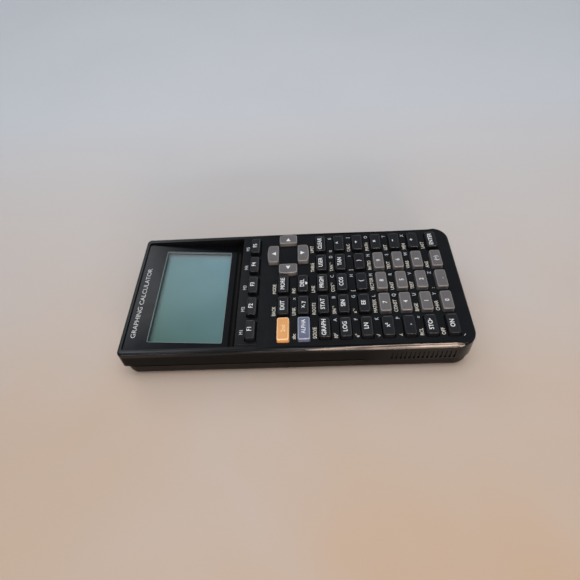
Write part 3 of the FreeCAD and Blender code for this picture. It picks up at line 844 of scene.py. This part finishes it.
def make_display():
    """Glossy plate with a printed border, its clear window, and the screen under it."""
    outer = placed_outline(lens_width / 2, 0, lens_length, lens_corner_r)
    opening = placed_outline(window_half_width, window_start, window_end, window_corner_r)
    border = lens_piece("display_border", outer, opening, [border_material, window_edge_highlight],
                        0, -lens_thickness)
    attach(border, "case")
    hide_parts("display_window")
    clear = placed_outline(window_half_width - window_play, window_start + window_play,
                           window_end - window_play, window_corner_r)
    window = lens_piece("clear_window", clear, None, [window_material],
                        -window_drop, -lens_thickness)
    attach(window, "case")
    # Thin pale line around the opening: painted highlight of the window's lit edge.
    outer_edge = placed_outline(window_half_width + edge_line_width, window_start - edge_line_width,
                                window_end + edge_line_width, edge_line_corner_r)
    edge = lens_piece("window_edge_line", outer_edge, opening, [window_edge_highlight],
                      edge_line_top, edge_line_bottom)
    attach(edge, "case")
    screen_outline = placed_outline(screen_half_width, screen_start, screen_end, screen_corner_r)
    screen = lens_piece("liquid_crystal_screen", screen_outline, None, [crystal_material],
                        screen_top, screen_bottom)
    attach(screen, "case")
    words = bmesh.new()
    set_line(words, caption, caption_size, "left", caption_left, 0, caption_stretch, 0.01,
             caption_widest)
    for vertex in words.verts:
        x, along, height = vertex.co
        vertex.co = on_lens(x, along + caption_along, height + print_rise)
    printed = new_object("display_caption", words, [grey_ink], smooth=False)
    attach(printed, "case")


# ---- finishes of the CAD nodes that stay -------------------------------------------------
def finish_node(node, material):
    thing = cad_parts[node]
    thing.data.materials.clear()
    thing.data.materials.append(material)


kept_nodes = {
    "front_case": face_plastic,
    "rear_case": rear_plastic,
    "battery_door": rear_plastic,
    "rubber_keypad": silicone,
    "circuit_board": board_material,
    "batteries_and_contacts": cell_jacket,
    "case_screws": steel,
    "link_jack": socket_plastic,
    "lcd_module": nickel,
}


# ---- table, light and camera -------------------------------------------------------------
floor_half = 1500
floor_cells = 60
floor_z = -0.02
sky_colour = (0.86, 0.92, 1.0, 1)
sky_strength = 0.33
# Name, place, target, size, watts, colour and spread in degrees of each lamp.
lamps = [
    ("overhead", (-0.12, -0.1, 1.2), (0, 0, 0), (0.9, 0.9), 8.4, (1.0, 0.98, 0.96), 180),
    ("far_window", (1.12, 0.84, 1.25), (0, 0, 0), (0.9, 0.9), 4.8, (0.93, 0.96, 1.0), 180),
    ("near_end_strip", (-0.75, 0.26, 0.175), (0, 0, 0.02), (0.36, 0.05), 0.14, (1.0, 0.92, 0.86), 70),
    ("near_strip", (-0.75, -0.17, 0.175), (0, 0, 0.02), (0.40, 0.075), 0.54, (1.0, 0.76, 0.61), 70),
]


def make_floor():
    """Large flat table top, facing up, a hair below the object."""
    mesh = bmesh.new()
    bmesh.ops.create_grid(mesh, x_segments=floor_cells, y_segments=floor_cells, size=floor_half)
    bmesh.ops.translate(mesh, vec=(0, 0, floor_z), verts=mesh.verts)
    floor = new_object("table_top", mesh, [table_cloth()])
    if floor.data.polygons[0].normal.z < 0:
        floor.data.flip_normals()


def area_light(name, location, target, size, energy, colour, spread):
    """Rectangular lamp that faces its target and isn't seen itself."""
    data = bpy.data.lights.new(name, "AREA")
    data.shape = "RECTANGLE"
    data.size, data.size_y = size
    data.energy = energy
    data.color = colour
    data.spread = math.radians(spread)
    lamp = bpy.data.objects.new(name, data)
    lamp.location = location
    lamp.rotation_euler = (Vector(target) - Vector(location)).to_track_quat("-Z", "Y").to_euler()
    lamp.visible_camera = False
    bpy.context.scene.collection.objects.link(lamp)


def make_light():
    """Soft light from above and the far side, and two low warm strips that the rim mirrors."""
    world = bpy.data.worlds.new("studio")
    world.use_nodes = True
    sky = world.node_tree.nodes["Background"]
    sky.inputs["Color"].default_value = sky_colour
    sky.inputs["Strength"].default_value = sky_strength
    bpy.context.scene.world = world
    for lamp in lamps:
        area_light(*lamp)


camera_place = Vector((-159.05, -10.94, 206.74))
camera_yaw = math.radians(4.77)        # of the view direction from +X, towards +Y
camera_pitch = math.radians(49.96)     # below the horizon
camera_roll = math.radians(-5.79)
camera_lens = 29.06
sensor_width = 36


def make_camera():
    """Camera that looks at the object from the near side and above."""
    data = bpy.data.cameras.new("camera")
    data.lens = camera_lens
    data.sensor_width = sensor_width
    data.clip_start = 5 * MM
    forward = Vector((math.cos(camera_pitch) * math.cos(camera_yaw),
                      math.cos(camera_pitch) * math.sin(camera_yaw), -math.sin(camera_pitch)))
    level = forward.cross(Vector((0, 0, 1))).normalized()
    upright = level.cross(forward)
    right = math.cos(camera_roll) * level + math.sin(camera_roll) * upright
    up = math.cos(camera_roll) * upright - math.sin(camera_roll) * level
    camera = bpy.data.objects.new("camera", data)
    turn = Matrix((right, up, -forward)).transposed()
    camera.matrix_world = Matrix.Translation(camera_place * MM) @ turn.to_4x4()
    bpy.context.scene.collection.objects.link(camera)
    bpy.context.scene.camera = camera


bpy.context.scene.view_settings.view_transform = "Standard"
make_camera()
make_floor()
make_light()
for node, material in kept_nodes.items():
    finish_node(node, material)
for node in keys:
    make_key(node)
    make_legend(node)
make_fleck()
make_scratch()
make_face_labels()
make_display()
